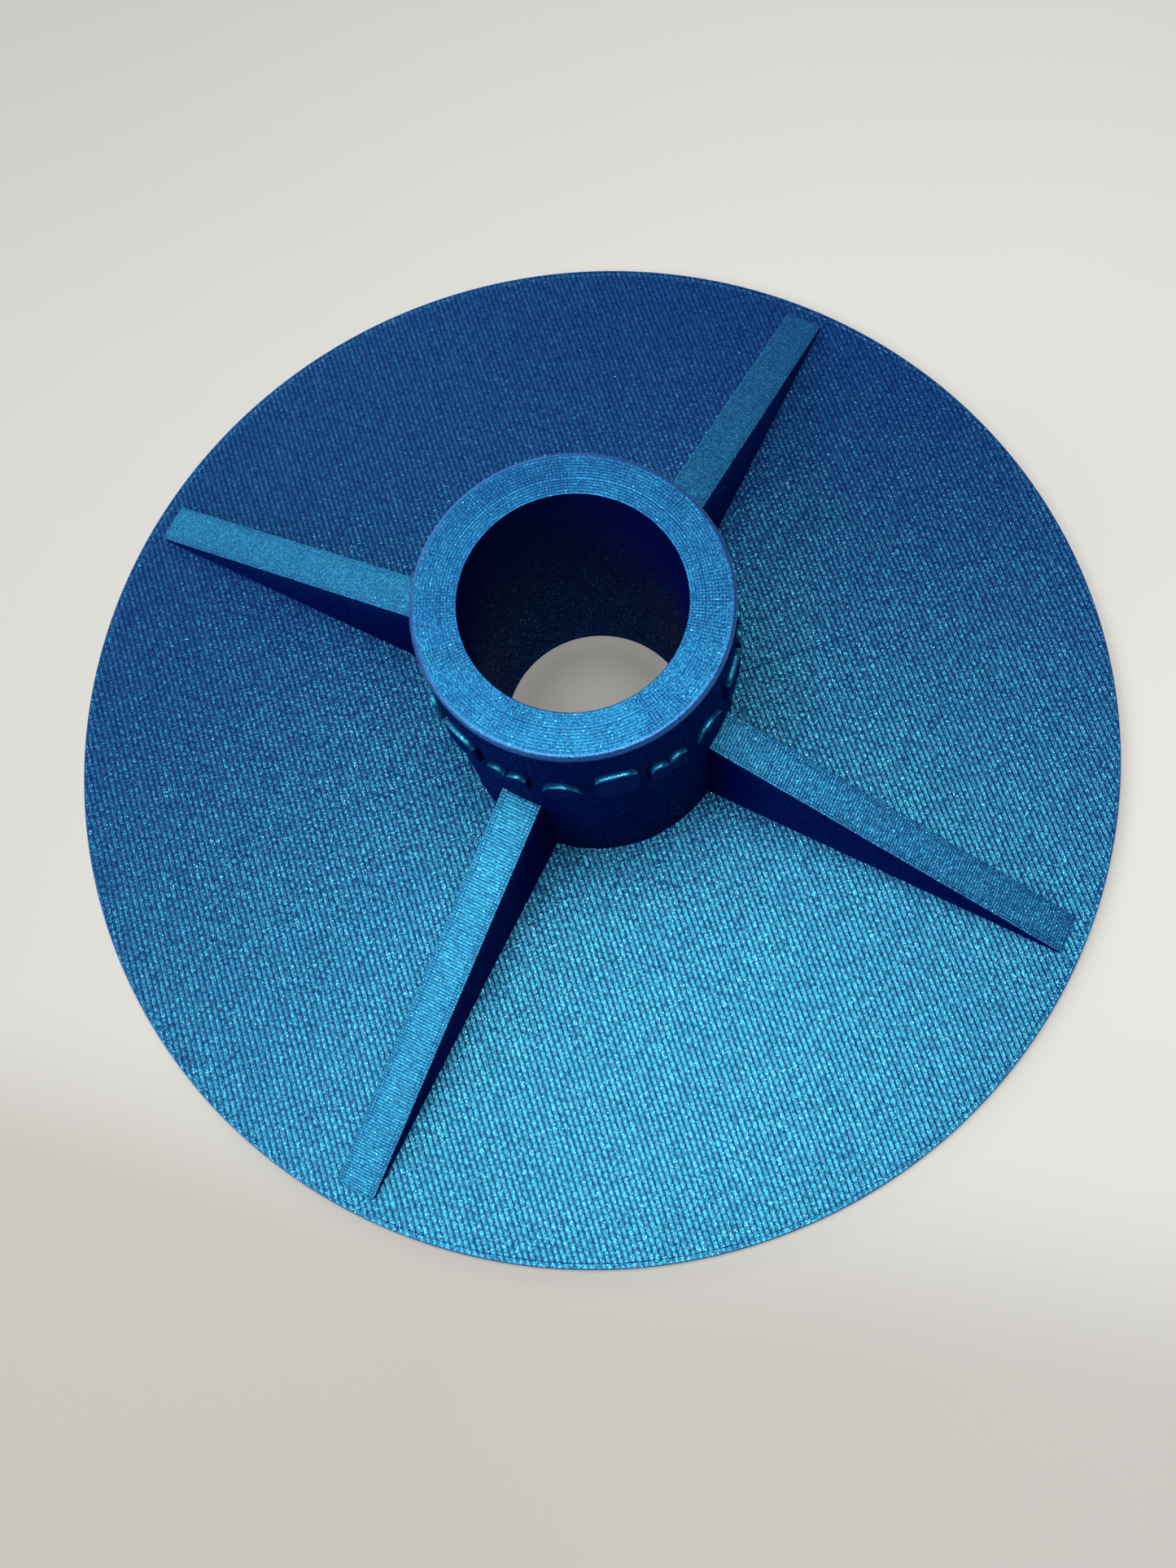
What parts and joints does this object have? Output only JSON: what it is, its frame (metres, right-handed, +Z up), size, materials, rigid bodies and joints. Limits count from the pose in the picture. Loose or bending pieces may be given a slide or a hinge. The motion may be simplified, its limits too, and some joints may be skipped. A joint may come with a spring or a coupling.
{
  "type": "ribbed hub stand",
  "caption": "Thin round base disc with an open tube standing on its middle, tapering ribs that brace the tube to the disc, and a band of small raised marks round the tube.",
  "frame": {"origin": "centre of the base disc's bottom face", "axes": "+Z up along the tube's axis; +X and +Y along two neighbouring ribs"},
  "size_m": [0.15, 0.15, 0.0491],
  "materials": {
    "disc_plastic": "satin metallic blue 3-D printed plastic with fine glitter",
    "hub_plastic": "satin metallic blue 3-D printed plastic with fine glitter",
    "rib_plastic": "satin metallic blue 3-D printed plastic with fine glitter",
    "mark_plastic": "satin metallic blue 3-D printed plastic with fine glitter"
  },
  "bodies": {
    "root": {"base_disc": "disc_plastic", "hub_tube": "hub_plastic", "rib_1": "rib_plastic", "rib_2": "rib_plastic", "rib_3": "rib_plastic", "rib_4": "rib_plastic", "mark_1_tall": "mark_plastic", "mark_2_twin": "mark_plastic", "mark_3_round": "mark_plastic", "mark_4_tall": "mark_plastic", "mark_5_twin": "mark_plastic", "mark_6_round": "mark_plastic", "mark_7_tall": "mark_plastic", "mark_8_twin": "mark_plastic", "mark_9_round": "mark_plastic", "mark_10_tall": "mark_plastic", "mark_11_twin": "mark_plastic", "mark_12_round": "mark_plastic", "mark_13_tall": "mark_plastic", "mark_14_twin": "mark_plastic", "mark_15_round": "mark_plastic", "mark_16_tall": "mark_plastic", "mark_17_twin": "mark_plastic", "mark_18_round": "mark_plastic"}
  },
  "joints": []
}
